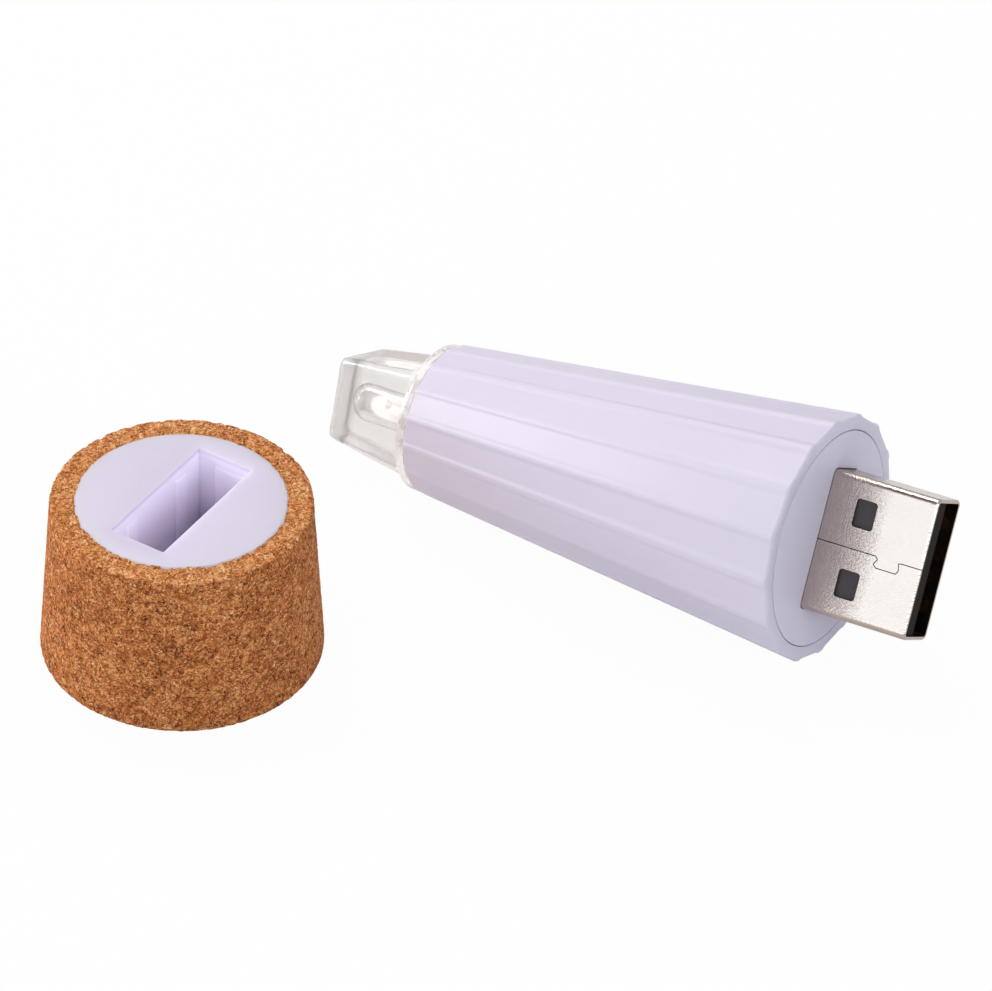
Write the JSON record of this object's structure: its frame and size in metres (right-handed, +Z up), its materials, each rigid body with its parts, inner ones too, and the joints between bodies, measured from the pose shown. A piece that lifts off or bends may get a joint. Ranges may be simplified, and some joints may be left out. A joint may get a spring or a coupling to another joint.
{
  "type": "cork bottle light",
  "caption": "Bottle light taken apart: a fluted conical light with a clear lens tip and a bare USB plug lies beside its standing cork cap, whose slot covers the plug.",
  "frame": {"origin": "centre of the footprint of both halves, on the surface they stand on", "axes": "+X from the light's lens tip towards its plug, seen from above; +Z up; the cap stands on the -Y side, and the long side of its slot runs along Y"},
  "size_m": [0.0664, 0.0528, 0.0211],
  "materials": {
    "cork": "agglomerated cork, bare, lightly waxed",
    "lavender_plastic": "moulded, semi-gloss, pale lavender",
    "plated_steel": "bright nickel plate over folded sheet, faint rolling grain",
    "insulator_plastic": "black moulded, matt",
    "gold_contacts": "gold flash over copper alloy",
    "clear_plastic": "clear moulded, polished",
    "clear_epoxy": "water-clear cast epoxy",
    "tinned_wire": "tinned, dull bright",
    "carrier_plastic": "white moulded, satin",
    "board_laminate": "glass-epoxy board with green solder mask",
    "brass_strip": "half-hard brass strip, bright",
    "nickel_strip": "nickel-plated strip",
    "battery_steel": "drawn nickel-plated can",
    "battery_sleeve": "shrunk plastic film, plain blue",
    "gasket_plastic": "natural nylon",
    "red_insulation": "extruded, semi-gloss red",
    "black_insulation": "extruded, semi-gloss black",
    "chip_black": "moulded epoxy, matt black, unmarked",
    "resistor_ceramic": "glazed black on ceramic, tinned ends",
    "capacitor_ceramic": "tan ceramic, tinned ends",
    "indicator_resin": "pale yellow clear resin"
  },
  "bodies": {
    "light": {"fluted_shell": "lavender_plastic", "end_disc": "lavender_plastic", "plug_shell": "plated_steel", "plug_insulator": "insulator_plastic", "plug_contacts": "gold_contacts", "switch_pads": "gold_contacts", "lamp": "clear_epoxy", "lamp_leads": "tinned_wire", "lamp_board": "board_laminate", "inner_carrier": "carrier_plastic", "battery_can": "battery_steel", "battery_button": "battery_steel", "battery_gasket": "gasket_plastic", "battery_sleeve": "battery_sleeve", "positive_strap": "nickel_strip", "negative_strap": "nickel_strip", "red_lamp_wire": "red_insulation", "black_lamp_wire": "black_insulation", "circuit_board": "board_laminate", "charging_chip": "chip_black", "chip_legs": "tinned_wire", "chip_resistors": "resistor_ceramic", "chip_capacitors": "capacitor_ceramic", "charge_indicator": "indicator_resin"},
    "tip": {"lens_tip": "clear_plastic", "twist_contact": "brass_strip"},
    "cap": {"cork_sleeve": "cork", "cap_insert": "lavender_plastic"}
  },
  "joints": [
    {"name": "tip_twist", "type": "hinge", "parent": "light", "child": "tip", "pos_m": [-0.01484, 0.01585, 0.00655], "axis": [0.9945, 0, 0.105], "range_deg": [0, 60]},
    {"name": "cap_lift", "type": "slide", "parent": "light", "child": "cap", "axis": [0, 0, 1], "range_m": [0, 0.03]}
  ]
}
